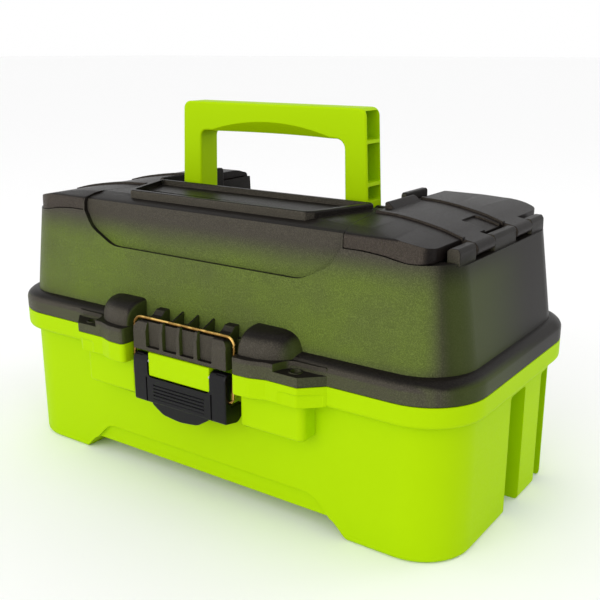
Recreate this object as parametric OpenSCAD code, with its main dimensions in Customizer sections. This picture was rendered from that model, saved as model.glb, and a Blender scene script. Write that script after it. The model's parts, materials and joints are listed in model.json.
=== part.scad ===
// Fishing tackle box with a cantilever pair of trays, two top hatches, a
// folding handle and a front draw latch.  Millimetres, +X to the right,
// -Y to the front, +Z up.  The origin is on the ground under the middle of
// the tub.  The box is shown shut and latched, with the handle upright.

/* [Tub] */
// Length of the rim and the lid flange
rim_length = 400; // [396:1:404]
// Depth of the rim and the lid flange
rim_depth = 205.6; // [204:0.2:207]
// Height of the parting line between tub and lid
parting_z = 108; // [107.5:0.1:108.5]
// Thickness of the moulded walls
wall = 2.5; // [2:0.1:2.8]

/* [Lid] */
// Height of the lid's top surface
lid_top_z = 206; // [205:0.5:207]
// Height of the raised rim round the top recess
panel_top_z = 210; // [209:0.5:211]
// Level of the handle well's floor
well_floor_z = 186; // [186:0.2:187]

/* [Handle] */
// Height of the handle's top
handle_top_z = 270.5; // [268:0.5:273]
// Thickness of the handle, front to back
handle_depth = 17; // [15:0.5:18]
// Half the handle's outer width
handle_half = 85; // [83:0.5:86]

/* [Trays] */
// Half the length of a tray
tray_half = 174.5; // [173:0.5:174.5]
// Height of a tray
tray_height = 33; // [30:0.5:33]
// Thickness of a tray's walls
tray_wall = 2; // [1.6:0.1:2.2]
// Thickness of a loose divider
divider = 1.6; // [1.2:0.1:1.8]

/* [Latch] */
// Half the width of the lever and of the catch
latch_half = 37.5; // [36.5:0.5:38]
// Diameter of the bail's wire
wire_d = 2.4; // [2:0.1:2.6]

/* [Hidden] */
$fn = 48;

gap = 0.3;                      // between faces of different bodies
fit = 0.05;                     // radial play of a pin in its bore
lime = [0.62, 0.85, 0.02];
lime_tray = [0.5, 0.7, 0.1];
smoke = [0.27, 0.27, 0.24, 0.85];
soot = [0.13, 0.12, 0.13];
steel = [0.75, 0.75, 0.77];
brass = [0.8, 0.62, 0.25];

// Tub
rim_a = rim_length / 2;
rim_b = rim_depth / 2;
rim_r = 42;
rim_z = 94;                     // underside of the rim band
tub_a = 193.5;
tub_b = 95;
tub_r = 35;
floor_z = 11;                   // underside of the floor
foot_x = [110, 123];            // the arch's half-width at its top and at the ground
groove_y = [[-4, 22], [52, 67]];
groove_depth = 11;
groove_top = 87;

// Lid hinge at the rear, and the linkage that hangs from it
hinge = [110.5, parting_z];     // y, z
hinge_r = 5.5;
hinge_pin_r = 1.6;
hinge_x = 110;                  // middle of each hinge
hinge_lid_w = 22;
hinge_tub_w = 14;
arm_base = [-46, -6];          // from the lid hinge to the arm's pivot
lower_pin = [52, 127];          // the trays' pivots on the lid
upper_pin = [12, 160];
arm_in = 176.6;                 // the arm's inner face
arm_t = 2.8;
arm_half = 6;
pivot_r = 1.9;
pivot_head_r = 4;
screw_end = 182.5;

// Trays
lower_y = [-80, 72];
upper_y = [-80, 22];
lower_z = 110.5;
upper_z = 147;
row_y = -6;                     // the lower tray's lengthwise wall
tray_r = 12;                    // radius of a tray's front corners

// Front bulge of rim and flange, beside the latch
recess_x = 49;
recess_y = -96.5;
ear_hole = [92, -107.5];
ear_hole_r = 3.5;
ear_z = [99, 115];
ear_x = [76, 113];
bulge = [[recess_x, -90], [recess_x, -118.5], [52, -120.3], [62, -119.7], [70, -117.2],
         [75, -115.8], [96, -116.2], [99, -115.4], [112, -102.8], [112, -90]];

// Latch
lever_pivot = [-114.5, 99.5];
lever_eye = [-115, 84];
lever_top_r = 5.5;
lever_front = -120;
bar = [-112, 128.5];            // the bail's top bar
bail_x = 42.4;
catch_z = 106.3;
lug_x = 24.5;

// Handle
handle_y = 0;
handle_pivot_z = 197;
handle_leg = 18;
handle_grip = 21.5;
handle_pin_r = 3;
well_x = 98;
well_front = -19.5;

// Hatches
hatch_hinge = [177, 192.5];     // x, z
hatch_r = 4.6;
hatch_pin_r = 1.25;
skirt_z = 193.4;
deck_z = 196.5;
knuckles = [[-57, 23], [0, 35], [57, 23]];      // y, width
tab_y = [-31.5, 31.5];
tab_w = 26;
sill = [167, 187];              // x, z of the step that the hatch hinges stand on
hatch_end = 171.6;              // outer edge of a hatch between its tabs
// A hatch's top falls away towards the hinge: x, z
crown = [[100, 206.2], [118, 206], [132, 205.2], [147, 203.6], [156, 202], [163, 200.3],
         [168, 198.8], [177, 196]];
// Raised beads across a hatch: y at the inner edge and at the hinge
bead_y = [[-33, -44], [31, 18]];
bead_w = 3.2;
bead_h = 1.6;
skirt_y = 87;                   // inner face of the front and rear skirts
wall_top_z = 199.5;             // top of the walls beside the handle well

// ---------- shared shapes ----------
module both() { children(); mirror([1, 0, 0]) children(); }

module rounded(a, b, r) {
    square([2 * (a - r), 2 * b], center = true);
    square([2 * a, 2 * (b - r)], center = true);
    for (x = [-1, 1], y = [-1, 1]) translate([x * (a - r), y * (b - r)]) circle(r);
}

module slab(z, a, b, r) translate([0, 0, z]) linear_extrude(0.2) rounded(a, b, r, $fn = 32);

module plate(z0, z1) translate([0, 0, z0]) linear_extrude(z1 - z0) children();

// A bar along X through [y, z]
module rod_x(x0, x1, yz, r) translate([x0, yz[0], yz[1]]) rotate([0, 90, 0]) cylinder(h = x1 - x0, r = r);

module rod_y(y0, y1, xz, r) translate([xz[0], y0, xz[1]]) rotate([-90, 0, 0]) cylinder(h = y1 - y0, r = r);

module block(x, y, z) translate([x[0], y[0], z[0]]) cube([x[1] - x[0], y[1] - y[0], z[1] - z[0]]);

// A profile in y, z, drawn out along X
module along_x(x0, x1) translate([x0, 0, 0]) rotate([90, 0, 90]) linear_extrude(x1 - x0) children();

// ---------- tub ----------
module rim_outline() {
    difference() {
        union() {
            rounded(rim_a, rim_b, rim_r);
            both() polygon(bulge);
        }
        translate([-recess_x, -150]) square([2 * recess_x, 150 + recess_y]);
    }
}

module tub_inside() {
    difference() {
        plate(floor_z + wall, parting_z + 1) rounded(tub_a - wall, tub_b - wall, tub_r - wall);
        both() for (g = groove_y)
            block([tub_a - groove_depth - wall, tub_a], [g[0] - wall, g[1] + wall], [0, groove_top + wall]);
    }
}

module end_arches() {
    both() for (g = groove_y) block([tub_a - groove_depth, tub_a + 1], g, [-1, groove_top]);
}

module base_tub() color(lime) {
    difference() {
        union() {
            plate(0, parting_z) rounded(tub_a, tub_b, tub_r);
            plate(rim_z, parting_z) rim_outline();
            // pilasters beside the latch
            both() block([recess_x, 98.6], [-110, -90], [68, rim_z + 1]);
        }
        tub_inside();
        end_arches();
        // the arch between the feet, front to back
        rotate([90, 0, 0]) linear_extrude(300, center = true)
            polygon([[-foot_x[1], -1], [-foot_x[0], floor_z], [foot_x[0], floor_z], [foot_x[1], -1]]);
        // hollow feet
        both() plate(-1, floor_z) translate([foot_x[1] + 30, 0]) rounded(27, tub_b - 6, 24);
        block([-recess_x, recess_x], [-150, recess_y], [-1, parting_z + 1]);
        both() translate([ear_hole[0], ear_hole[1], rim_z + 2]) cylinder(h = 20, r = ear_hole_r);
        // the ear is thinner than the rim
        both() block(ear_x, [-130, -103.5], [rim_z - 1, ear_z[0]]);
    }
    // lug that carries the latch
    difference() {
        union() {
            block([-lug_x, lug_x], [lever_pivot[0], recess_y + 1], [91, 104]);
            rod_x(-lug_x, lug_x, [lever_pivot[0], lever_pivot[1] - 1], 4.5);
        }
        rod_x(-lug_x - 1, lug_x + 1, lever_pivot, pivot_r + fit);
    }
    // hinge knuckles
    both() difference() {
        for (x = [-1, 1]) translate([hinge_x + x * (hinge_lid_w + hinge_tub_w + 0.8) / 2, 0, 0]) {
            rod_x(-hinge_tub_w / 2, hinge_tub_w / 2, hinge, hinge_r);
            block([-hinge_tub_w / 2, hinge_tub_w / 2], [rim_b - 1, hinge[0]],
                  [hinge[1] - hinge_r, hinge[1] - gap]);
        }
        rod_x(hinge_x - 40, hinge_x + 40, hinge, hinge_pin_r + fit);
    }
    // bosses for the link arms
    both() difference() {
        rod_x(arm_in + arm_t + gap, tub_a - 1, hinge + arm_base, 5.5);
        rod_x(170, tub_a - 4, hinge + arm_base, pivot_r);
    }
}

module lid_hinge_pins() color(steel) both()
    rod_x(hinge_x - 26, hinge_x + 26, hinge, hinge_pin_r);

module latch_pin() color(steel) rod_x(-latch_half + 1, latch_half - 1, lever_pivot, pivot_r);

module arm_pivot_pins() color(steel) both() {
    rod_x(arm_in - gap, tub_a - 4, hinge + arm_base, pivot_r);
    rod_x(arm_in - gap - 1.6, arm_in - gap, hinge + arm_base, pivot_head_r);
}

// ---------- lid ----------
module lid_outside(inset = 0) hull() {
    slab(122, 192 - inset, 94 - inset, 36);
    slab(190, 182 - inset, 90.5 - inset, 32);
    slab(203, 178 - inset, 88 - inset, 29);
    slab(lid_top_z - 0.2, 168, 76, 24);
}

module lid_inside() hull() {
    slab(parting_z - 1, 190, 91.5, 34);
    slab(well_floor_z - wall - 0.2, 180.2, 88, 30);
}

// Plan of a hatch, out to x1; grow moves its inner edge outwards
module hatch_outline(grow, x1) polygon([
    [118.4 + grow, -100], [100.8 + grow, -20], [100.4 + grow, 100], [x1, 100], [x1, -100]]);

module panel_outline(grow = 0) polygon([
    [-82 - grow, -72 - grow], [-77, -77 - grow], [77, -77 - grow], [82 + grow, -72 - grow],
    [98 + grow, -26], [94 + grow, -22 + grow], [-94 - grow, -22 + grow], [-98 - grow, -26]]);

module bin_outline()
    polygon([[121, -82], [104.5, -14], [104, 84], [150, 84], [163, 74], [163, -74], [152, -82]]);

// Everything below the crown of a hatch, moved up by rise
module under_crown(rise) translate([0, 120, rise]) rotate([90, 0, 0]) linear_extrude(240)
    polygon(concat([[90, 150], [90, crown[0][1]]], crown, [[200, crown[len(crown) - 1][1]], [200, 150]]));

// Half-length of the lid's inside at a height
function lid_inner_a(z) = 190 - 9.8 * (z - parting_z + 1) / (well_floor_z - wall - parting_z + 1);

module dome() rotate([90, 0, 90]) linear_extrude(36)
    polygon([[-90, 121], [-113, 121], [-114, 124], [-111, 130], [-104, 134], [-96, 134.5], [-90, 134.5]]);

module catch_profile() polygon([
    [-90, parting_z + gap], [recess_y - 0.5, parting_z + gap], [recess_y - 0.5, catch_z],
    [-118, catch_z], [-118, 121], [-116, 126], [-114, 127.1], [-109.8, 127.1],
    [-109.8, 131], [-100, 131], [-90, 129]]);

module lid_shell() color(smoke) {
    difference() {
        union() {
            lid_outside();
            plate(parting_z + gap, 121) rim_outline();
            plate(121, 123.5) rounded(rim_a - 4, rim_b - 6, rim_r - 4);
            plate(200, panel_top_z) panel_outline();
            both() translate([52, 0, 0]) dome();
        }
        lid_inside();
        // hollow under the top recess
        plate(183, panel_top_z - 8.2) polygon([[-88, -84], [88, -84], [91, -24], [-91, -24]]);
        plate(panel_top_z - 4.2, panel_top_z + 1) panel_outline(-4);
        // handle well, open at the rear
        block([-well_x, well_x], [well_front, 120], [well_floor_z, 220]);
        both() {
            // hatch seats, with a rabbet for the skirts and a lower sill at the hinges
            plate(deck_z, 220) hatch_outline(0, 220);
            difference() {
                plate(skirt_z, 220) hatch_outline(0, 220);
                intersection() {
                    block([0, 200], [1 - skirt_y, skirt_y - 1], [150, 230]);
                    lid_outside(3.5);
                }
            }
            block([sill[0], 200], [-120, 120], [skirt_z, 220]);
            block([sill[0], 200], [-70, 70], [sill[1], 220]);
            block([well_x - 1, 102], [well_front, 120], [wall_top_z, 220]);
            plate(well_floor_z, 220) bin_outline();
            // padlock ears, open above
            block(ear_x, [-130, -103.5], [ear_z[1], 130]);
            translate([ear_hole[0], ear_hole[1], 80]) cylinder(h = 60, r = ear_hole_r);
        }
    }
    // catch for the bail, with recesses between its ribs
    difference() {
        along_x(-latch_half, latch_half) catch_profile();
        for (i = [-1.5 : 1 : 1.5]) block([i * 14 - 5.4, i * 14 + 5.4], [-119, -115], [109, 123]);
    }
    // hinge knuckles
    both() difference() {
        union() {
            rod_x(hinge_x - hinge_lid_w / 2, hinge_x + hinge_lid_w / 2, hinge, hinge_r);
            block([hinge_x - hinge_lid_w / 2, hinge_x + hinge_lid_w / 2], [rim_b - 1, hinge[0]],
                  [hinge[1] + gap, hinge[1] + hinge_r]);
        }
        rod_x(hinge_x - 40, hinge_x + 40, hinge, hinge_pin_r + fit);
    }
    // hatch knuckles
    both() difference() {
        for (k = knuckles) {
            rod_y(k[0] - k[1] / 2, k[0] + k[1] / 2, hatch_hinge, hatch_r);
            block([hatch_hinge[0] - hatch_r, hatch_hinge[0] + hatch_r],
                  [k[0] - k[1] / 2, k[0] + k[1] / 2], [sill[1] - 1, hatch_hinge[1]]);
        }
        rod_y(-120, 120, hatch_hinge, hatch_pin_r + fit);
    }
    // rounded stops beside the handle well that the hatches snap under
    both() block([well_x - 3, well_x + 1], [17, 50], [192, 211]);
    // bosses for the handle's pins
    both() difference() {
        rod_x(handle_half + gap, well_x + 1, [handle_y, handle_pivot_z], 7);
        rod_x(0, 200, [handle_y, handle_pivot_z], handle_pin_r);
    }
    // bosses for the trays' screws
    both() for (p = [lower_pin, upper_pin]) difference() {
        rod_x(tray_half + 0.7, lid_inner_a(p[1]) + 1, p, 5);
        rod_x(tray_half, screw_end, p, pivot_r);
    }
}

module handle_pins() color(steel) both()
    rod_x(handle_half - 12, well_x, [handle_y, handle_pivot_z], handle_pin_r);

module hatch_pin() rod_y(-67, 67, hatch_hinge, hatch_pin_r);
module hatch_pin_right() color(steel) hatch_pin();
module hatch_pin_left() color(steel) mirror([1, 0, 0]) hatch_pin();

module tray_screws() color(steel) both() for (p = [lower_pin, upper_pin]) {
    rod_x(tray_half - tray_wall - gap, screw_end, p, pivot_r);
    rod_x(tray_half - tray_wall - gap - 2, tray_half - tray_wall - gap, p, pivot_head_r);
}

// ---------- hatches ----------
// Stretch of a hatch's hinge tab from the panel to the barrel, x and z
module tab_profile() polygon([
    [158, 197.4], [158, 201.4], [163, 200.2], [168, 198.7], [hatch_hinge[0], hatch_hinge[1] + hatch_r],
    [hatch_hinge[0], hatch_hinge[1] + 1.5], [172.5, hatch_hinge[1] + 2.5], [167.6, 197.4]]);

module bead(y) intersection() {
    plate(190, 220) polygon([[104, y[0] - bead_w / 2], [hatch_end, y[1] - bead_w / 2],
                             [hatch_end, y[1] + bead_w / 2], [104, y[0] + bead_w / 2]]);
    under_crown(bead_h);
}

module hatch() {
    difference() {
        union() {
            difference() {
                intersection() {
                    lid_outside();
                    plate(skirt_z + gap, 220) hatch_outline(gap, hatch_end);
                    under_crown(0);
                }
                // hollow between the skirts, under a shell that follows the crown
                intersection() {
                    plate(skirt_z - 1, lid_top_z - 5.5) hatch_outline(2.3, 180);
                    block([90, 200], [-skirt_y, skirt_y], [150, 220]);
                    lid_outside(2.5);
                    under_crown(-2.2);
                }
                block([90, 122], [-skirt_y, skirt_y], [skirt_z - 1, wall_top_z + gap]);
            }
            for (y = tab_y) {
                rod_y(y - tab_w / 2, y + tab_w / 2, hatch_hinge, hatch_r);
                translate([0, y + tab_w / 2, 0]) rotate([90, 0, 0]) linear_extrude(tab_w) tab_profile();
            }
            for (y = bead_y) difference() {
                bead(y);
                under_crown(-1);
            }
            // finger lip along the inner edge
            rotate([90, 0, 0]) translate([0, 0, -22]) linear_extrude(40)
                polygon([[101.2, 201.5], [101.2, 210], [104, 210], [109, 205], [109, 201.5]]);
        }
        rod_y(-120, 120, hatch_hinge, hatch_pin_r + fit);
    }
}

module hatch_right() color(smoke) hatch();
module hatch_left() color(smoke) mirror([1, 0, 0]) hatch();

// ---------- handle ----------
module handle() color(lime) {
    bottom = handle_pivot_z;
    difference() {
        union() {
            difference() {
                block([-handle_half, handle_half], [handle_y - handle_depth / 2, handle_y + handle_depth / 2],
                      [bottom, handle_top_z]);
                block([-handle_half + handle_leg, handle_half - handle_leg], [-20, 20],
                      [bottom - 1, handle_top_z - handle_grip]);
            }
            both() rod_x(handle_half - handle_leg, handle_half, [handle_y, handle_pivot_z], handle_depth / 2);
        }
        // open pockets in the legs' outer faces, with cross ribs
        both() for (z = [[208, 218], [220.5, 247], [249.5, 267.5]])
            block([handle_half - 10, handle_half + 1], [-handle_depth / 2 + 2.5, handle_depth / 2 - 2.5], z);
        both() rod_x(handle_half - 12.2, handle_half + 1, [handle_y, handle_pivot_z], handle_pin_r + fit);
    }
}

// ---------- trays ----------
// Plan of a tray, rounded at the front, moved in by inset
module tray_plan(y, inset) {
    translate([0, (y[0] + y[1]) / 2]) rounded(tray_half - inset, (y[1] - y[0]) / 2 - inset, tray_r - inset);
    translate([inset - tray_half, 0]) square([2 * (tray_half - inset), y[1] - inset]);
}

module tray(y, z, rows) {
    difference() {
        plate(z, z + tray_height) tray_plan(y, 0);
        plate(z + tray_wall, z + tray_height + 1) tray_plan(y, tray_wall);
    }
    for (r = rows) block([-tray_half + 1, tray_half - 1], [r - tray_wall / 2, r + tray_wall / 2],
                         [z + 1, z + tray_height - 3]);
}

module screw_holes(p) both() {
    rod_x(tray_half - 10, tray_half + 1, p, pivot_r + fit);
    rod_x(tray_half - 10, tray_half + 1, p + arm_base, pivot_r);
}

// Loose dividers in one row, at the given places along it
module dividers(xs, y, z) for (x = xs)
    block([x - divider / 2, x + divider / 2], [y[0] + 0.3, y[1] - 0.3], [z + tray_wall, z + tray_height - 4]);

module rivets(p) both() {
    rod_x(tray_half - tray_wall - 1.4, arm_in + arm_t + gap, p + arm_base, pivot_r);
    rod_x(tray_half - tray_wall - 1.4, tray_half - tray_wall, p + arm_base, pivot_head_r);
    rod_x(arm_in + arm_t + gap, arm_in + arm_t + gap + 1.6, p + arm_base, pivot_head_r);
}

module tray_lower() color(lime_tray) difference() {
    tray(lower_y, lower_z, [row_y]);
    screw_holes(lower_pin);
}
module tray_lower_dividers() color(lime_tray) {
    dividers([-86, 0, 86], [lower_y[0] + tray_wall, row_y - tray_wall / 2], lower_z);
    dividers([-60, 60], [row_y + tray_wall / 2, lower_y[1] - tray_wall], lower_z);
}
module tray_lower_rivets() color(steel) rivets(lower_pin);

module tray_upper() color(lime_tray) difference() {
    tray(upper_y, upper_z, []);
    screw_holes(upper_pin);
}
module tray_upper_dividers() color(lime_tray)
    dividers([-115, -57, 0, 57, 115], [upper_y[0] + tray_wall, upper_y[1] - tray_wall], upper_z);
module tray_upper_rivets() color(steel) rivets(upper_pin);

// ---------- link arms ----------
// A strip of the arm between two points in y, z
module strip(p, q) {
    d = q - p;
    translate([arm_in, p[0], p[1]]) rotate([atan2(d[1], d[0]), 0, 0])
        translate([0, 0, -arm_half]) cube([arm_t, norm(d), 2 * arm_half]);
}

module link_arm() {
    points = [hinge + arm_base, lower_pin + arm_base, upper_pin + arm_base];
    difference() {
        union() {
            strip(points[0], points[1]);
            strip(points[1], points[2]);
            for (p = points) rod_x(arm_in, arm_in + arm_t, p, arm_half + 0.8);
        }
        rod_x(arm_in - 1, arm_in + arm_t + 1, points[0], pivot_r + fit);
        for (p = [points[1], points[2]]) rod_x(arm_in - 1, arm_in + arm_t + 1, p, pivot_r + 0.25);
    }
}
module link_arm_right() color(soot) link_arm();
module link_arm_left() color(soot) mirror([1, 0, 0]) link_arm();

// ---------- latch ----------
module latch_lever() color(soot) {
    difference() {
        union() {
            // arms beside the lug, rounded about the pivot
            both() {
                rod_x(lug_x + 1, latch_half, lever_pivot, lever_top_r);
                block([lug_x + 1, latch_half], [lever_front, lever_pivot[0] + lever_top_r],
                      [80, lever_pivot[1]]);
                // cheeks that reach back to the tub
                block([latch_half - 3, latch_half], [lever_front, -97.3], [69, 82]);
            }
            block([-latch_half, latch_half], [lever_front, lever_front + 6], [69, 88]);
            block([-27, 27], [lever_front + 0.5, lever_front + 5], [61, 70]);
        }
        // grip grooves
        for (i = [0 : 4])
            block([-26, 26], [lever_front - 1, lever_front + 1], [72 + 2.8 * i, 73.4 + 2.8 * i]);
        rod_x(-50, 50, lever_pivot, pivot_r + fit);
        rod_x(-50, 50, lever_eye, wire_d / 2 + fit);
    }
}

module latch_bail() color(brass) {
    bend = 5;
    wire_r = wire_d / 2;
    rise = bar[1] - lever_eye[1];
    lean = atan2(bar[0] - lever_eye[0], rise);
    length = norm([bar[0] - lever_eye[0], rise]);
    translate([0, lever_eye[0], lever_eye[1]]) rotate([-lean, 0, 0]) {
        both() {
            translate([bail_x, 0, 0]) cylinder(h = length - bend, r = wire_r);
            translate([bail_x, 0, 0]) sphere(wire_r);
            translate([bail_x - bend, 0, length - bend]) rotate([90, 0, 0])
                rotate_extrude(angle = 90) translate([bend, 0]) circle(wire_r);
            translate([28, 0, 0]) rotate([0, 90, 0]) cylinder(h = bail_x - 28, r = wire_r);
        }
        translate([-bail_x + bend, 0, length]) rotate([0, 90, 0])
            cylinder(h = 2 * (bail_x - bend), r = wire_r);
    }
}

base_tub();
lid_hinge_pins();
latch_pin();
arm_pivot_pins();
lid_shell();
handle_pins();
hatch_pin_left();
hatch_pin_right();
tray_screws();
hatch_left();
hatch_right();
handle();
tray_lower();
tray_lower_dividers();
tray_lower_rivets();
tray_upper();
tray_upper_dividers();
tray_upper_rivets();
link_arm_left();
link_arm_right();
latch_lever();
latch_bail();
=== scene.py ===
import json
import math

import bmesh
import bpy
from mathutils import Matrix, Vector


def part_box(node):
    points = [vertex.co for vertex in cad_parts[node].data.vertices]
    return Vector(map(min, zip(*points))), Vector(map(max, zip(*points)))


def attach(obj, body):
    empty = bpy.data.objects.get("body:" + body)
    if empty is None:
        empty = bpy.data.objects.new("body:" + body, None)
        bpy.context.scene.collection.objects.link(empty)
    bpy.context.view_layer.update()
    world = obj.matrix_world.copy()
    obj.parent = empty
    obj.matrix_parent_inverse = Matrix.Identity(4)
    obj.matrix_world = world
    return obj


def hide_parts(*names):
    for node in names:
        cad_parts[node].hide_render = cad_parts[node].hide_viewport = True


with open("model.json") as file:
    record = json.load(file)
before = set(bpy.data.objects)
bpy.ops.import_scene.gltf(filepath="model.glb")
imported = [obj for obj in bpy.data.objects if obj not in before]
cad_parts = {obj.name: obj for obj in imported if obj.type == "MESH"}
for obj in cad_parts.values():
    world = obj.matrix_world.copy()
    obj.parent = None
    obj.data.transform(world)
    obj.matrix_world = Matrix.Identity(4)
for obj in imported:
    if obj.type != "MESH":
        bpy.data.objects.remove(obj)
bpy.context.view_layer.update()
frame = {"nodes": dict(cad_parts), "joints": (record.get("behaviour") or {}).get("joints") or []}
nodes = frame["nodes"]
scene = bpy.context.scene
MM = 0.001


def cad_box(node):
    """Lowest and highest corner of a CAD node, in millimetres."""
    return [[round(v / MM, 1) for v in corner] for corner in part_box(node)]


def cad_pivot(joint):
    """A point on the axis of a CAD joint, in millimetres."""
    row = next(row for row in frame["joints"] if row["name"] == joint)
    return [round(v / MM, 1) for v in row["pos_m"]]


# ---------- camera ----------
camera_data = bpy.data.cameras.new("camera")
camera_data.lens = 51.98
camera_data.sensor_width = 36
camera = bpy.data.objects.new("camera", camera_data)
scene.collection.objects.link(camera)
camera.location = Vector((385.05, -520.84, 307.66)) * MM
target = Vector((19.85, 0, 124.35)) * MM
camera.rotation_euler = (target - camera.location).to_track_quat("-Z", "Y").to_euler()
scene.camera = camera


# ---------- shapes, all in millimetres ----------
def rounded(corners, steps=5):
    """Outline through corners (u, v, radius), as a list of 2-D points."""
    points = []
    for i, (u, v, radius) in enumerate(corners):
        here = Vector((u, v))
        to_last = Vector(corners[i - 1][:2]) - here
        to_next = Vector(corners[(i + 1) % len(corners)][:2]) - here
        half = to_last.angle(to_next) / 2
        if radius <= 0 or half > 1.55:
            points.append(here)
            continue
        reach = min(radius / math.tan(half), 0.49 * to_last.length, 0.49 * to_next.length)
        to_last.normalize()
        to_next.normalize()
        radius = reach * math.tan(half)
        centre = here + (to_last + to_next).normalized() * (radius / math.sin(half))
        first = here + to_last * reach - centre
        last = here + to_next * reach - centre
        start = math.atan2(first.y, first.x)
        turn = (math.atan2(last.y, last.x) - start + math.pi) % (2 * math.pi) - math.pi
        for k in range(steps + 1):
            angle = start + turn * k / steps
            points.append(centre + Vector((math.cos(angle), math.sin(angle))) * radius)
    return points


def rectangle(u0, u1, v0, v1, radius=0, steps=5):
    """Outline of a rectangle with corners rounded by radius."""
    return rounded([(u0, v0, radius), (u1, v0, radius), (u1, v1, radius), (u0, v1, radius)], steps)


def circle(u, v, radius, sides=32):
    """Outline of a circle round (u, v)."""
    return [Vector((u + radius * math.cos(2 * math.pi * k / sides),
                    v + radius * math.sin(2 * math.pi * k / sides))) for k in range(sides)]


def inset(outline, distance):
    """The outline moved inwards by distance."""
    area = sum(outline[i - 1].cross(p) for i, p in enumerate(outline))
    side = distance if area > 0 else -distance
    result = []
    for i, p in enumerate(outline):
        before = (p - outline[i - 1]).normalized()
        after = (outline[(i + 1) % len(outline)] - p).normalized()
        n1 = Vector((-before.y, before.x))
        n2 = Vector((-after.y, after.x))
        result.append(p + (n1 + n2) * (side / (1 + max(n1.dot(n2), -0.8))))
    return result


def place(axis, p, level):
    """The 3-D point of an outline's point p at a level along the axis."""
    if axis == "x":
        return (level, p[0], p[1])
    if axis == "y":
        return (p[0], level, p[1])
    return (p[0], p[1], level)


def loft(rings):
    """Closed solid through rings of 3-D points that all have the same count."""
    count = len(rings[0])
    faces = [list(range(count)), [len(rings) * count - 1 - k for k in range(count)]]
    for k in range(len(rings) - 1):
        for i in range(count):
            j = (i + 1) % count
            faces.append((k * count + i, k * count + j, (k + 1) * count + j, (k + 1) * count + i))
    mesh = bpy.data.meshes.new("part")
    mesh.from_pydata([Vector(p) * MM for ring in rings for p in ring], [], faces)
    work = bmesh.new()
    work.from_mesh(mesh)
    bmesh.ops.recalc_face_normals(work, faces=work.faces)
    work.to_mesh(mesh)
    work.free()
    piece = bpy.data.objects.new("part", mesh)
    scene.collection.objects.link(piece)
    return piece


def slab(outline, start, end, low=0, high=0, axis="z", steps=4):
    """Outline drawn out along an axis, with its two end edges rounded by low and high."""
    levels = []
    for k in range(steps + 1 if low else 1):
        angle = math.pi / 2 * k / steps
        levels.append((low * (1 - math.sin(angle)), start + low * (1 - math.cos(angle))))
    for k in range(steps + 1 if high else 1):
        angle = math.pi / 2 * k / steps
        levels.append((high * (1 - math.cos(angle)), end - high * (1 - math.sin(angle))))
    return loft([[place(axis, p, level) for p in (inset(outline, d) if d else outline)]
                 for d, level in levels])


def box(x, y, z):
    """Plain block between the given pairs of limits."""
    return slab(rectangle(x[0], x[1], y[0], y[1]), z[0], z[1])


def rod(axis, start, end, u, v, radius, edge=0):
    """Round rod along an axis, with both end edges rounded by edge."""
    return slab(circle(u, v, radius), start, end, edge, edge, axis)


def tube(points, radius, sides=16):
    """Round wire along points."""
    rings = []
    path = [Vector(p) for p in points]
    for i, p in enumerate(path):
        ahead = path[min(i + 1, len(path) - 1)] - path[max(i - 1, 0)]
        turn = ahead.to_track_quat("Z", "X")
        rings.append([p + turn @ Vector((radius * math.cos(2 * math.pi * k / sides),
                                         radius * math.sin(2 * math.pi * k / sides), 0))
                      for k in range(sides)])
    return loft(rings)


def mirrored(piece):
    """A copy on the other side of the middle plane."""
    mesh = piece.data.copy()
    for vertex in mesh.vertices:
        vertex.co.x = -vertex.co.x
    mesh.flip_normals()
    copy = bpy.data.objects.new("part", mesh)
    scene.collection.objects.link(copy)
    return copy


def pair(piece):
    """The piece and its mirror image."""
    return [piece, mirrored(piece)]


def pairs(*pieces):
    """All the pieces and their mirror images."""
    return [p for piece in pieces for p in pair(piece)]


def apply(piece):
    """Turns the piece's modifiers into plain mesh."""
    bpy.context.view_layer.update()
    graph = bpy.context.evaluated_depsgraph_get()
    mesh = bpy.data.meshes.new_from_object(piece.evaluated_get(graph))
    piece.modifiers.clear()
    piece.data = mesh


def combine(operation, piece, tools):
    """Changes the piece by a boolean operation with each tool, and uses the tools up."""
    for tool in tools:
        step = piece.modifiers.new("step", "BOOLEAN")
        step.operation = operation
        step.solver = "MANIFOLD"
        step.object = tool
    apply(piece)
    for tool in tools:
        bpy.data.objects.remove(tool)
    if not piece.data.polygons:
        raise RuntimeError("a boolean left nothing")


def add(piece, *tools):
    combine("UNION", piece, tools)


def cut(piece, *tools):
    combine("DIFFERENCE", piece, tools)


def keep(piece, *tools):
    combine("INTERSECT", piece, tools)


def widen(piece, across=1.12, through=0.87, back=-97):
    """Makes a latch part wider across the box, and shallower towards the plane y = back."""
    for vertex in piece.data.vertices:
        vertex.co.x *= across
        vertex.co.y = back * MM + (vertex.co.y - back * MM) * through


def finish(piece, name, body, material, width):
    """Rounds the edges that are left by width, shades the piece and hangs it on its body."""
    rounded_above = math.radians(32)
    sharp_above = math.radians(40)
    weld = 0.02 * MM
    piece.name = name
    piece.data.name = name
    work = bmesh.new()
    work.from_mesh(piece.data)
    bmesh.ops.remove_doubles(work, verts=work.verts, dist=weld)
    bmesh.ops.dissolve_degenerate(work, edges=work.edges, dist=weld)
    work.to_mesh(piece.data)
    work.free()
    if width:
        bevel = piece.modifiers.new("edges", "BEVEL")
        bevel.width = width * MM
        bevel.segments = 2
        bevel.limit_method = "ANGLE"
        bevel.angle_limit = rounded_above
        bevel.use_clamp_overlap = True
        bevel.miter_outer = "MITER_ARC"
        apply(piece)
    piece.data.shade_smooth()
    piece.data.set_sharp_from_angle(angle=sharp_above)
    normals = piece.modifiers.new("normals", "WEIGHTED_NORMAL")
    normals.keep_sharp = True
    piece.data.materials.clear()
    piece.data.materials.append(material)
    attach(piece, body)


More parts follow.
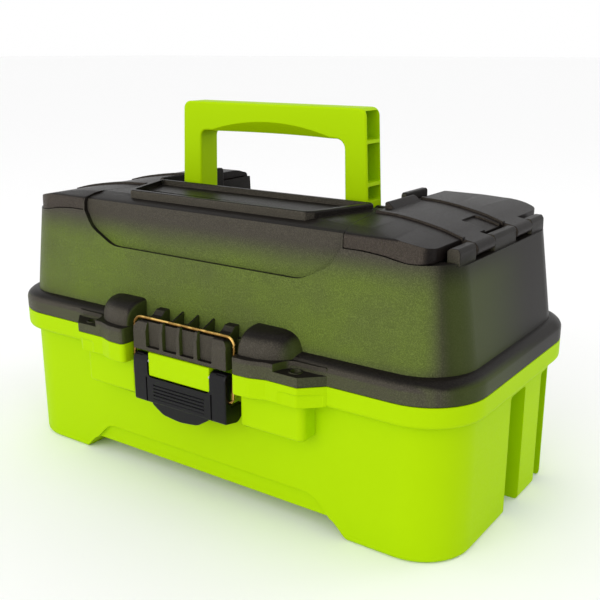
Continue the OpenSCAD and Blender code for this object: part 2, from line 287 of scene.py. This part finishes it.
# ---------- materials ----------
def srgb(red, green, blue):
    """Linear colour of an sRGB colour given in 0-255."""
    return tuple((c / 255 / 12.92 if c <= 10 else ((c / 255 + 0.055) / 1.055) ** 2.4)
                 for c in (red, green, blue)) + (1,)


class Tree:
    """A material's node tree, with short ways to add nodes to it."""

    def __init__(self, name, material=None):
        self.material = material or bpy.data.materials.new(name)
        self.material.use_nodes = True
        self.tree = self.material.node_tree
        self.shader = self.tree.nodes["Principled BSDF"]
        self.where = self.tree.nodes.new("ShaderNodeTexCoord")

    def put(self, socket, value):
        """Links an output to the socket, or sets the socket to a plain value."""
        if isinstance(value, bpy.types.NodeSocket):
            self.tree.links.new(value, socket)
        else:
            socket.default_value = value

    def noise(self, scale, detail=2):
        node = self.tree.nodes.new("ShaderNodeTexNoise")
        node.inputs["Scale"].default_value = scale
        node.inputs["Detail"].default_value = detail
        self.put(node.inputs["Vector"], self.where.outputs["Object"])
        return node.outputs["Fac"]

    def math(self, operation, a, b=0.0):
        node = self.tree.nodes.new("ShaderNodeMath")
        node.operation = operation
        self.put(node.inputs[0], a)
        self.put(node.inputs[1], b)
        return node.outputs[0]

    def ramp(self, value, low, high, out_low=0.0, out_high=1.0):
        """Value taken from low..high to out_low..out_high, with soft ends."""
        node = self.tree.nodes.new("ShaderNodeMapRange")
        node.interpolation_type = "SMOOTHSTEP"
        for key, v in (("Value", value), ("From Min", low), ("From Max", high), ("To Min", out_low),
                       ("To Max", out_high)):
            self.put(node.inputs[key], v)
        return node.outputs["Result"]

    def mix(self, factor, a, b):
        node = self.tree.nodes.new("ShaderNodeMix")
        node.data_type = "RGBA"
        self.put(node.inputs["Factor"], factor)
        self.put(node.inputs["A"], a)
        self.put(node.inputs["B"], b)
        return node.outputs["Result"]

    def split(self, output):
        """The X, Y and Z of one of the texture coordinates."""
        node = self.tree.nodes.new("ShaderNodeSeparateXYZ")
        self.put(node.inputs[0], self.where.outputs[output])
        return node.outputs

    def surface(self, colour, roughness, height, strength, edge=0.5, depth=0.0004):
        """Links colour, roughness and a bumped, edge-softened normal to the shader."""
        soft = self.tree.nodes.new("ShaderNodeBevel")
        soft.samples = 4
        soft.inputs["Radius"].default_value = edge * MM
        bump = self.tree.nodes.new("ShaderNodeBump")
        bump.inputs["Distance"].default_value = depth
        self.put(bump.inputs["Strength"], strength)
        self.put(bump.inputs["Height"], height)
        self.put(bump.inputs["Normal"], soft.outputs["Normal"])
        self.put(self.shader.inputs["Base Color"], colour)
        self.put(self.shader.inputs["Roughness"], roughness)
        self.put(self.shader.inputs["Normal"], bump.outputs["Normal"])


def shade(colour, factor):
    """The colour made lighter or darker by the factor."""
    return tuple(min(1, c * factor) for c in colour[:3]) + (1,)


def plastic(name, colour, roughness, grain_scale, grain, specular=0.5, spread=0.12, metallic=0):
    """Moulded plastic or drawn metal: mottled colour, uneven gloss and a surface grain."""
    t = Tree(name)
    t.shader.inputs["Specular IOR Level"].default_value = specular
    t.shader.inputs["Metallic"].default_value = metallic
    speckle = t.noise(grain_scale)
    t.surface(t.mix(t.noise(14, 3), shade(colour, 1 - spread), shade(colour, 1 + spread)),
              t.ramp(speckle, 0.2, 0.8, roughness - 0.06, roughness + 0.06), speckle, grain)
    return t.material


def smoke_plastic(name, smooth, grained, glow, alpha):
    """Smoked plastic. Walls that face front or rear have a pebbled grain; tops and ends are smooth and
    dark. A painted glow that depends on the place stands in for the light of the lime trays behind the walls."""
    t = Tree(name)
    t.shader.inputs["Specular IOR Level"].default_value = 0.08
    t.shader.inputs["Alpha"].default_value = alpha
    normal = t.split("Normal")
    place_at = t.split("Object")
    facing = t.ramp(t.math("ABSOLUTE", normal["Y"]), 0.55, 0.9)
    speckle = t.noise(1400, 2)
    cloud = t.noise(16, 3)
    # painted glow: full on the main walls, weaker on the flange, and gone near the top, the ends and the
    # latch
    level = t.ramp(place_at["Z"], 0.17, 0.194, 1.0, 0.0)
    inner = t.ramp(t.math("ABSOLUTE", place_at["X"]), 0.168, 0.19, 1.0, 0.0)
    depth = t.math("ABSOLUTE", place_at["Y"])
    behind = t.math("MAXIMUM", t.ramp(depth, 0.096, 0.1, 1.0, 0.0),
                    t.math("MULTIPLY", t.ramp(place_at["Z"], 0.116, 0.118, 0.3, 0.0),
                           t.ramp(t.math("ABSOLUTE", place_at["X"]), 0.047, 0.049)))
    glow_mask = t.math("MULTIPLY", t.math("MULTIPLY", level, inner),
                  t.math("MULTIPLY", behind, t.ramp(cloud, 0.25, 0.7, 0.6, 1.0)))
    # painted shade: the glow is weaker low down, on the flange and at the foot of the wall
    glow_mask = t.math("MULTIPLY", glow_mask, t.ramp(place_at["Z"], 0.12, 0.131, 0.55, 1.0))
    # the painted glow shows on the end walls only towards the front
    side = t.math("MULTIPLY", t.ramp(t.math("ABSOLUTE", normal["X"]), 0.5, 0.9),
                  t.ramp(place_at["Y"], -0.06, 0.04, 0.3, 0.0))
    # green is where the painted glow shows, on the main walls and towards the front of the end walls
    green = t.math("MAXIMUM", t.math("MULTIPLY", glow_mask, facing), t.math("MULTIPLY", side, level))
    base = t.mix(facing, smooth, grained)
    base = t.mix(green, base, glow)
    # painted highlights: the tops of the pebbles are lighter
    pebble_highlight = t.math("MULTIPLY", t.ramp(speckle, 0.44, 0.62), t.ramp(facing, 0.0, 1.0, 0.1, 0.7))
    base = t.mix(pebble_highlight, base, t.mix(green, shade(grained, 1.6), shade(glow, 1.55)))
    t.surface(base, t.ramp(speckle, 0.2, 0.8, 0.3, 0.46), speckle, t.ramp(facing, 0.0, 1.0, 0.1, 1.0),
              edge=0.7, depth=0.0009)
    return t.material


def lime_plastic():
    """Lime plastic with painted shade, darker green, on the floors of the end grooves and handle pockets."""
    material = plastic("lime_plastic", srgb(166, 205, 0), 0.5, 700, 0.1, 0.04, spread=0.03)
    t = Tree("lime_plastic", material)
    across = t.math("ABSOLUTE", t.split("Object")["X"])
    soft = 0.0003
    # painted shade: darker green on the floors of the end grooves and of the handle's pockets
    floors = [t.math("MULTIPLY", t.ramp(across, low, low + soft), t.ramp(across, high, high + soft, 1.0, 0.0))
              for low, high in ((0.0705, 0.0757), (0.181, 0.1835))]
    painted_recess_shade = t.math("MULTIPLY", t.math("MAXIMUM", *floors),
                  t.ramp(t.math("ABSOLUTE", t.split("Normal")["X"]), 0.85, 0.95))
    base = t.shader.inputs["Base Color"]
    t.put(base, t.mix(painted_recess_shade, base.links[0].from_socket, srgb(88, 150, 0)))
    return material


def brass_wire():
    """Brass with a painted highlight: lighter where the wire faces up or to the side, darker underneath."""
    t = Tree("brass_wire")
    t.shader.inputs["Metallic"].default_value = 1
    facing = t.split("Normal")
    # painted highlight on the wire's upper side and its side towards +x, varied in patches along it
    top_highlight = t.ramp(facing["Z"], -0.1, 0.75)
    side_highlight = t.ramp(facing["X"], 0.3, 0.9, 0.0, 0.6)
    speckle = t.noise(900)
    patches = t.ramp(t.noise(130), 0.4, 0.62, 0.35, 1.0)
    highlight = t.math("MULTIPLY", t.math("MAXIMUM", top_highlight, side_highlight), patches)
    t.surface(t.mix(highlight, srgb(104, 72, 28), srgb(250, 206, 120)),
              t.ramp(speckle, 0.2, 0.8, 0.16, 0.3), speckle, 0.05)
    return t.material


lime = lime_plastic()
lime_tray = plastic("lime_tray_plastic", srgb(140, 184, 14), 0.48, 600, 0.1, 0.15, spread=0.04)
# the third colour is the painted glow of the lime trays showing through the lid
smoke = smoke_plastic("smoke_plastic", srgb(20, 17, 15), srgb(66, 62, 54), srgb(92, 108, 42), 0.98)
smoke_hatch = smoke_plastic("smoke_hatch_plastic", srgb(18, 14, 13), srgb(62, 56, 50), srgb(62, 56, 50),
                            0.98)
black = plastic("black_plastic", srgb(6, 5, 8), 0.34, 500, 0.2, 0.22)
brass = brass_wire()
steel = plastic("pin_steel", srgb(178, 178, 182), 0.3, 900, 0.08, metallic=1, spread=0.06)

# ---------- sizes shared by tub and lid ----------
RIM_X = cad_box("base_tub")[1][0]
FLANGE = rectangle(-RIM_X, RIM_X, -102.8, 102.8, 42, 12)
PARTING_Z = cad_pivot("lid_hinge")[2]
BULGE = [(49, -88, 0), (49, -120, 3.5), (63, -119.6, 14), (74.5, -115.9, 1), (98.6, -116.1, 1),
         (112, -102.9, 1), (112, -88, 0)]
EAR = [(75.5, -130, 0), (115, -130, 0), (115, -100, 0), (107.5, -103.3, 1), (84, -103.3, 8)]
EAR_HOLE = (92, -107.5, 3.5)
GROOVES = [(-4, 22), (52, 67)]
LATCH_HALF = 49  # half-width of the recess that the latch stands in
LATCH_DRAWN = cad_box("latch_lever")[1][0]  # half-width of lever and catch before widen()
HANDLE_PIN_Z = cad_pivot("handle_swing")[2]
ARM_PIN = cad_pivot("link_arm_swing")[1:]
TRAY_PINS = [cad_pivot(joint)[1:] for joint in ("lower_tray_level", "upper_tray_level")]
HATCH_PIN = cad_pivot("hatch_right_hinge")[::2]
RECESS_Y = -96.5

# ---------- tub ----------
tub = slab(rectangle(-193.5, 193.5, -95, 95, 36, 10), 0, 96, low=3)
add(tub,
    slab(FLANGE, 93.5, PARTING_Z, 3.4, 0.5),
    *pair(slab(rounded(BULGE), 94, PARTING_Z, 1.4, 0.5)),
    *pair(slab(rounded([(49, -88, 0), (49, -110, 1.5), (98.6, -110, 5), (98.6, -88, 0)]), 68, 96, 3)))
well = slab(rounded([(-191, -90, 31), (191, -90, 31), (191, 92.5, 33.5), (-191, 92.5, 33.5)], 8),
            13.5, 120, low=4)
cut(well, *pairs(*[box((180, 196), (g[0] - 2.5, g[1] + 2.5), (0, 89.5)) for g in GROOVES]))
cut(tub, well, box((-LATCH_HALF, LATCH_HALF), (-150, RECESS_Y), (-5, 120)))
cut(tub,
    *pairs(*[slab(rounded([(g[0], -5, 0), (g[1], -5, 0), (g[1], 87, 3), (g[0], 87, 3)]), 182.5, 200, axis="x")
             for g in GROOVES]),
    *pair(slab(rectangle(127, 180, -89, 89, 24), -2, 11)),
    *pair(rod("z", 93, 120, *EAR_HOLE)),
    *pair(slab(rounded([(76, -130, 0), (116, -130, 0), (116, -103, 0), (110, -104.5, 1), (97, -114.8, 4),
                        (82, -114.8, 8)]), 93, 103.6, high=2)))
# the arch between the feet, and the shallow step round it at the front and the rear
cut(tub,
    slab(rounded([(-129, -5, 0), (-123.5, 0.5, 4), (-111.5, 12, 7), (111.5, 12, 7), (123.5, 0.5, 4),
                  (129, -5, 0)]), -140, 140, axis="y"),
    *[slab(rounded([(-128, -6, 0), (-96, 26, 16), (96, 26, 16), (128, -6, 0)]), y, y + 8, 0.8, 0.8, axis="y")
      for y in (-100.2, 94)])
# the lug that carries the latch, the hinge knuckles at the rear and the bosses for the link arms
LUG = rounded([(-94, 82, 0), (-111.5, 82, 2), (-111.5, 88.6, 1), (-116.4, 88.6, 1.5), (-116.4, 106, 1),
               (-94, 106, 0)])
add(tub, slab(LUG, -27.8, 27.8, 0.8, 0.8, axis="x"))
for x in (92, 128):
    add(tub, *pair(slab(rounded([(101, 102.7, 0), (106, 102.2, 3), (113, 102.2, 5), (116, 108, 5),
                                 (113, 114, 5), (107, 114, 5), (105, 107.6, 0), (101, 107.6, 0)]),
                        x - 7, x + 7, 0.5, 0.5, axis="x")))
add(tub, *pair(rod("x", 179.8, 192, *ARM_PIN, 5.5, 0.5)))
finish(tub, "tub", "root", lime, 0.6)
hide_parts("base_tub")


# ---------- lid ----------
def lid_outside():
    """The lid's dome without flange, latch parts or openings, also the outer shape of the hatches."""
    levels = [(122, 192, 94, 36), (150, 187.9, 92.6, 34.3), (190, 182, 90.5, 32), (199.2, 180.6, 89.9, 31.4),
              (200.9, 180.1, 89.5, 31), (202.2, 179.2, 88.6, 30.5), (203.1, 177.6, 87, 30),
              (203.6, 175.4, 84.5, 29), (205.4, 170, 78.5, 25), (206, 167, 74, 23)]
    return loft([[(p.x, p.y, z) for p in rectangle(-a, a, -b, b, r, 12)] for z, a, b, r in levels])


def lid_inside():
    """The space under the lid."""
    levels = [(107, 190, -91.5, 91.5), (160, 183.2, -89.4, 89.2), (168, 182.2, -86, 88.8),
              (183.5, 180.2, -85, 88)]
    return loft([[(p.x, p.y, z) for p in rectangle(-a, a, front, back, 30, 12)]
                 for z, a, front, back in levels])


CROWN = [(100, 206.2), (112, 206.15), (120, 206), (126, 205.6), (132, 205.1), (138, 204.4), (144, 203.6),
         (150, 202.7), (156, 201.7), (160, 200.9), (164, 199.9), (168, 198.8), (172.5, 197.6), (177, 196)]
SKIRT = [(96, 193.4), (126, 193.4), (136, 192.8), (144, 191.9), (151, 190.6), (158, 189.5), (165, 189.1)]


def under_crown(rise):
    """Everything below the hatches' curved top, moved up by rise."""
    outline = [(90, 150), (90, CROWN[0][1])] + CROWN + [(210, CROWN[-1][1]), (210, 150)]
    return slab([Vector((x, z + rise)) for x, z in outline], -120, 120, axis="y")


def above_skirt(rise):
    """Everything above the lower edge of the hatches' front, moved up by rise."""
    outline = SKIRT + [(210, SKIRT[-1][1]), (210, 230), (96, 230)]
    return slab([Vector((x, z + rise)) for x, z in outline], -120, 120, axis="y")


def hatch_plan(grow, outer, radius=0):
    """Plan of the right hatch, its inner edge moved by grow and its outer edge at x = outer."""
    return rounded([(116.9 + grow, -104, 0), (100.8 + grow, -20, 12), (100.4 + grow, 104, 0),
                    (outer, 104, radius), (outer, -104, radius)])


PANEL = rounded([(-82, -72, 3), (-77, -77, 3), (77, -77, 3), (82, -72, 3), (98, -26, 3), (94, -22, 3),
                 (-94, -22, 3), (-98, -26, 3)])


lid = lid_outside()
shoulder = [(108.3, 0.4), (108.7, 0), (117.2, 0), (118.6, 0.4), (120, 1.3), (121.4, 2.9), (122.4, 4.6),
            (123.2, 6.4), (123.6, 8.6)]
add(lid,
    loft([[(p.x, p.y, z) for p in inset(FLANGE, d)] for z, d in shoulder]),
    *pair(slab(rounded(BULGE), 108.3, 120, 0.4, 0.9)))


def dome():
    """The hood beside the latch: full height next to the latch, running out to nothing at the side."""
    start, full, end = 49.6, 60, 88.6
    reach, rise = 24.4, 18.3
    arc = [math.radians(t) for t in range(0, 91, 9)]
    rings = []
    for x in (start, 50.3, 51.5, 53, full, 66, 71, 75, 78.5, 81.5, 84, 86, 87.5, 88.4):
        t = max(0, (x - full) / (end - full))
        edge = min(1, 0.9 + 0.1 * math.sqrt(max(0, min(1, (x - start) / 3))))
        out = edge * reach * math.sqrt(1 - t * t)
        up = edge * rise * math.sqrt(1 - t ** 5)
        rings.append([(x, -88, 118)]
                     + [(x, -90 - out * math.cos(a) ** 0.72, 118 + up * math.sin(a) ** 0.8) for a in arc]
                     + [(x, -88, 118 + up)])
    return loft(rings)


add(lid, *pair(dome()))
# the middle of the front stands back from the walls beside it
setback = rounded([(-113, 215, 0), (-113, 193.4, 0), (-106, 181.5, 20), (-84, 170, 26), (84, 170, 26),
                   (106, 181.5, 20), (113, 193.4, 0), (113, 215, 0)], 8)
step = slab(setback, -100, -70, axis="y")
keep(step, slab([Vector((-110, 160)), Vector((-89.9, 160)), Vector((-88.4, 172)), Vector((-87.2, 190)),
                 Vector((-86.8, 199)), Vector((-85.6, 201.6)), Vector((-83, 203)), Vector((-76, 204.4)),
                 Vector((-70, 206.2)), Vector((-70, 230)), Vector((-110, 230))], -130, 130, axis="x"))
cut(lid, step)
panel = slab(PANEL, 202.6, 210, high=1.4)
cut(panel, slab(inset(PANEL, 4), 205.6, 214, low=1))
add(lid, panel)
cut(lid, lid_inside(),
    slab(rounded([(-88, -82, 6), (88, -82, 6), (91, -24, 6), (-91, -24, 6)]), 183, 201.4),
    slab(rounded([(-98, -19.5, 4), (98, -19.5, 4), (98, 120, 0), (-98, 120, 0)]), 186, 220, low=2))
seat = above_skirt(0)
keep(seat, slab(hatch_plan(0, 210), 150, 220))
core = slab(rectangle(90, 167, -86, 86), 150, 196.5)
keep(core, slab(rectangle(-166, 166, -86.3, 86.3, 13, 8), 140, 210))
cut(seat, core)
ear_top = slab(rounded(EAR), 115, 130)
keep(ear_top, box((70, 116), (-130, -102.8), (110, 135)))
cut(lid, *pair(seat),
    *pairs(box((167, 200), (-70, 70), (187, 220)),
           box((97, 102.5), (-19.5, 120), (199.5, 220)),
           slab(rounded([(121, -82, 4), (104.5, -14, 8), (104, 84, 4), (150, 84, 4), (163, 74, 6),
                         (163, -74, 6), (152, -82, 4)]), 186, 220, low=2),
           ear_top,
           rod("z", 80, 140, *EAR_HOLE)),
    box((-LATCH_HALF, LATCH_HALF), (-150, RECESS_Y), (100, 140)))
# raised ring round each padlock hole
ring = rod("z", 114.5, 115.6, EAR_HOLE[0], EAR_HOLE[1], 4.6, 0.3)
cut(ring, rod("z", 110, 120, *EAR_HOLE))
add(lid, *pair(ring))

# catch that the bail pulls on
catch = slab(rounded([(-88, 108.3, 0), (-97, 108.3, 0), (-97, 106.3, 0), (-118.4, 106.3, 1.2),
                      (-118.4, 121, 8), (-115.8, 127.1, 3), (-109, 127.1, 1), (-107.6, 124, 0),
                      (-107.6, 112, 0), (-88, 112, 0)]),
             -LATCH_DRAWN, LATCH_DRAWN, 0.6, 0.6, axis="x")
keep(catch, slab(rounded([(-LATCH_DRAWN, 100, 0), (LATCH_DRAWN, 100, 0), (LATCH_DRAWN, 127.4, 6.5),
                          (-LATCH_DRAWN, 127.4, 6.5)]), -125, -80, axis="y"))
cut(catch, *[slab(rectangle(x - 5.6, x + 5.6, 109.4, 134, 1), -122, -114.6, axis="y")
             for x in (-21, -7, 7, 21)])
RIB = rounded([(-111, 110, 0), (-118.5, 110, 1), (-118.5, 122, 6), (-116.6, 128.4, 1.2), (-113.8, 128.8, 0.6),
               (-113.8, 126, 0), (-111, 126, 0)])
add(catch, *[slab(RIB, x - 1.2, x + 1.2, 0.3, 0.3, axis="x") for x in (-14, 0, 14)])
WEB = rounded([(-88, 110, 0), (-88, 133, 0), (-94.5, 132.2, 0), (-108.4, 126.5, 1), (-108.4, 110, 0)])
STAY = rounded([(-88, 110, 0), (-88, 132.4, 0), (-98, 131.8, 2), (-101.5, 128.6, 1), (-108.4, 126.5, 1),
                (-108.4, 110, 0)])
widen(catch)
add(lid, catch)
add(lid, *[slab(WEB, x - 0.7, x + 0.7, axis="x") for x in (-14, 0, 14)],
    *[slab(STAY, x - 4.5, x + 4.5, 0.5, 0.5, axis="x") for x in (-31.5, 31.5)])

# hinges at the rear, hatch knuckles, stops, and bosses for the handle and the trays
LID_KNUCKLE = rounded([(101, 108.4, 0), (105, 108.4, 0), (107, 102.6, 5), (113, 102.6, 5), (116, 108, 5),
                       (113, 113.9, 5), (107, 113.9, 5), (101, 113, 0)])
HATCH_KNUCKLE = rounded([(172.4, 186, 0), (181, 186, 0), (180.8, 194.6, 2), (179.4, 197.1, 1.5),
                         (174.6, 197.1, 1.5), (172.4, 195.6, 1.5)])
add(lid, *pair(slab(LID_KNUCKLE, 99, 121, 0.5, 0.5, axis="x")),
    *pairs(*[slab(HATCH_KNUCKLE, y - half, y + half, 0.6, 0.6, axis="y")
             for y, half in ((-57, 11.5), (0, 17.5), (57, 11.5))],
           slab(rectangle(17, 50, 190, 211.4, 2.5), 94.8, 99.2, 1, 1, axis="x"),
           rod("x", 85.3, 99, 0, HANDLE_PIN_Z, 7, 0.5),
           rod("x", 175.2, 187, *TRAY_PINS[0], 5, 0.5),
           rod("x", 175.2, 184, *TRAY_PINS[1], 5, 0.5)))
finish(lid, "lid", "lid", smoke, 0.45)
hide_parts("lid_shell")

# ---------- hatches ----------
hatch = lid_outside()
keep(hatch, slab(hatch_plan(0.4, 170.4, 3), 150, 220), under_crown(0), above_skirt(0.5))
keep(hatch, slab(rectangle(-170.4, 170.4, -89.7, 89.7, 15, 10), 150, 220))
hollow = slab(hatch_plan(2.4, 180), 150, 201.5)
keep(hollow, slab(rectangle(-166.5, 166.5, -86.8, 86.8, 12, 8), 140, 220), under_crown(-2.2))
cut(hatch, hollow, box((90, 122), (-87, 87), (180, 199.8)))
beads = []
for inner, outer in ((-33, -44), (31, 18)):
    bead = slab(rounded([(104, inner - 1.8, 1.6), (171.6, outer - 1.8, 0), (171.6, outer + 1.8, 0),
                         (104, inner + 1.8, 1.6)]), 190, 220)
    keep(bead, under_crown(1.5))
    beads.append(bead)
for bead in beads:
    cut(bead, under_crown(-1))
# hinge tab: along the curved top, then round the pin
TAB = ([Vector((152, 197.4)), Vector((152, 202.3))] + [Vector(p) for p in CROWN if 152 < p[0] < 171]
       + [Vector((HATCH_PIN[0] + 4.6 * math.cos(math.radians(a)),
                  HATCH_PIN[1] + 4.6 * math.sin(math.radians(a)))) for a in range(84, -121, -12)]
       + [Vector((172.6, 193)), Vector((167.6, 197.2))])
add(hatch, *beads)
add(hatch, *[slab(TAB, y - 13, y + 13, 0.6, 0.6, axis="y") for y in (-31.5, 31.5)])
add(hatch, slab([Vector(p) for p in ((101.2, 201), (101.2, 209.4), (102.2, 210.2), (104, 209.8), (110.5, 204),
                                     (110.5, 201))], -17, 22, 0.8, 0.8, axis="y"))
# shallow pocket beside the middle knuckle
pocket = slab(rounded([(153, -9, 2), (190, -11, 0), (190, 13, 0), (153, 13, 2)]), 196, 215)
cut(pocket, under_crown(-1.4))
cut(hatch, pocket, rod("y", -120, 120, *HATCH_PIN, 1.3))
left_hatch = mirrored(hatch)
finish(hatch, "hatch_panel_right", "hatch_right", smoke_hatch, 0.4)
finish(left_hatch, "hatch_panel_left", "hatch_left", smoke_hatch, 0.4)
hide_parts("hatch_right")
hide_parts("hatch_left")

# ---------- handle ----------
HANDLE_Y = (-12, 8.4)
handle = slab(rounded([(-84.8, 197, 0), (-84.4, 188.6, 8), (-67.6, 188.6, 8), (-66.4, 197, 0),
                       (-65, 249, 5.5), (65, 249, 7), (66.4, 197, 0), (67.6, 188.6, 8), (84.4, 188.6, 8),
                       (84.8, 197, 0), (81.4, 270.5, 6), (-81.4, 270.5, 6)], 6),
              *HANDLE_Y, 1.6, 1.6, axis="y")
scoop = [(-62, 247.5)] + [(x, 249 + 9 * (1 - (x / 58) ** 2)) for x in range(-58, 59, 8)] + [(62, 247.5)]
cut(handle, loft([[(x, y, z + dz) for x, z in scoop + [(62, 232), (-62, 232)]]
                  for y, dz in ((-13.5, 1.2), (-3, -9.2))]))
# pockets on the outer faces of the legs, which lean inwards as they rise
for low, high in ((207.5, 217.6), (220, 246.6), (249, 268.4)):
    lean = 0.046 * (high - HANDLE_PIN_Z)
    cut(handle, *pair(slab(rectangle(HANDLE_Y[0] + 2, HANDLE_Y[1] - 1.8, low, high, 1.2), 75 - lean, 92,
                           axis="x")))
finish(handle, "carry_handle", "handle", lime, 0.5)
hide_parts("handle")

# ---------- latch ----------
lever = slab(rounded([(-120, 69, 2), (-120, 104, 5.5), (-109.2, 104, 5.5), (-109.2, 95, 2), (-112.5, 89, 3),
                      (-112.5, 80, 0), (-97.6, 80, 2.5), (-97.6, 72, 5), (-105, 66.5, 6), (-114, 68, 2)]),
             -LATCH_DRAWN, LATCH_DRAWN, 1, 1, axis="x")
cut(lever,
    slab(rounded([(-25.4, 88, 3.5), (25.4, 88, 3.5), (25.4, 120, 0), (-25.4, 120, 0)]), -130, -100, axis="y"),
    slab(rounded([(-34.4, 60, 0), (34.4, 60, 0), (34.4, 90, 0), (-34.4, 90, 0)]), -114.6, -90, axis="y"),
    *pair(slab(rectangle(25.9, 27.1, 69, 88), -122, -119, axis="y")),
    *[slab(rectangle(-21, 21, z, z + 1.1, 0.5), -121, -119.1, axis="y")
      for z in (72.4, 74.9, 77.4, 79.9, 82.4)],
    *pair(slab(rectangle(30, 36, 102.6, 110), -125, -117, axis="y")))
TONGUE = rounded([(-23, 74, 0), (-23, 68, 3), (-14, 61.8, 10), (0, 60, 30), (14, 61.8, 10), (23, 68, 3),
                  (23, 74, 0)])
add(lever, slab(TONGUE, -119.6, -115, 1, 1, axis="y"))
widen(lever)
finish(lever, "latch_lever_body", "latch_lever", black, 0.4)
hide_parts("latch_lever")

# bail: top bar, rounded corners, sides down to the lever
BAIL_HALF = 45
BAIL_BEND = 6
BAIL_LOW, BAIL_HIGH = 84, 128.5
bend = [(BAIL_HALF - BAIL_BEND * (1 - math.cos(a)), BAIL_HIGH - BAIL_BEND * (1 - math.sin(a)))
        for a in [math.radians(t) for t in range(0, 91, 15)]]
side = [(34, BAIL_LOW), (BAIL_HALF - 3, BAIL_LOW), (BAIL_HALF - 0.9, BAIL_LOW + 0.6),
        (BAIL_HALF, BAIL_LOW + 3)] + bend


def bail_y(z):
    """The wire leans back towards the catch as it rises."""
    return -112.7 + 2.7 * (z - BAIL_LOW) / (BAIL_HIGH - BAIL_LOW)


bail = tube([(x, bail_y(z), z) for x, z in side] + [(-x, bail_y(z), z) for x, z in reversed(side)], 1.2)
finish(bail, "bail_wire", "latch_bail", brass, 0)
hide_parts("latch_bail")


# ---------- trays ----------
def tray(name, body, node, wall_y=None):
    """A tray as large as its CAD node, with a wall along it if wall_y is given."""
    (left, front, bottom), (right, back, top) = cad_box(node)
    left += 0.1
    right -= 0.1
    plan = rounded([(left, front, 12), (right, front, 12), (right, back, 3), (left, back, 3)])
    piece = slab(plan, bottom, top, 2.5, 0.8)
    cavity = slab(inset(plan, 2), bottom + 2, top + 7, 2)
    if wall_y is not None:
        cut(cavity, box((-180, 180), (wall_y - 1, wall_y + 1), (bottom, top - 3)))
    cut(piece, cavity)
    finish(piece, name, body, lime_tray, 0.4)
    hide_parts(node)


tray("tray_lower_shell", "tray_lower", "tray_lower", -6)
tray("tray_upper_shell", "tray_upper", "tray_upper")

# ---------- CAD nodes that stay ----------
for name, node in nodes.items():
    material = (black if name.startswith("link_arm") else
                lime_tray if name.endswith("dividers") else steel)
    node.data.materials.clear()
    node.data.materials.append(material)

# ---------- floor and light ----------
floor_mesh = bpy.data.meshes.new("floor")
floor_mesh.from_pydata([(-40, -40, 0), (40, -40, 0), (40, 40, 0), (-40, 40, 0)], [], [(0, 1, 2, 3)])
floor = bpy.data.objects.new("floor", floor_mesh)
scene.collection.objects.link(floor)
pale = bpy.data.materials.new("pale_floor")
pale.use_nodes = True
pale.node_tree.nodes["Principled BSDF"].inputs["Base Color"].default_value = (0.96, 0.96, 0.96, 1)
pale.node_tree.nodes["Principled BSDF"].inputs["Roughness"].default_value = 0.9
pale.node_tree.nodes["Principled BSDF"].inputs["Specular IOR Level"].default_value = 0.1
floor.data.materials.append(pale)

world = bpy.data.worlds.new("studio")
scene.world = world
world.use_nodes = True
world.node_tree.nodes["Background"].inputs["Color"].default_value = (1, 1, 1, 1)
world.node_tree.nodes["Background"].inputs["Strength"].default_value = 1.0
scene.view_settings.view_transform = "Standard"


def disc_light(name, location, size, power):
    data = bpy.data.lights.new(name, "AREA")
    data.shape = "DISK"
    data.size = size
    data.energy = power
    light = bpy.data.objects.new(name, data)
    scene.collection.objects.link(light)
    light.location = location
    light.rotation_euler = (Vector((0, 0, 0.12)) - light.location).to_track_quat("-Z", "Y").to_euler()


disc_light("key", (-0.2, -1.9, 0.8), 1.6, 12)
disc_light("rim", (0.9, 0.9, 1.0), 0.5, 1.5)
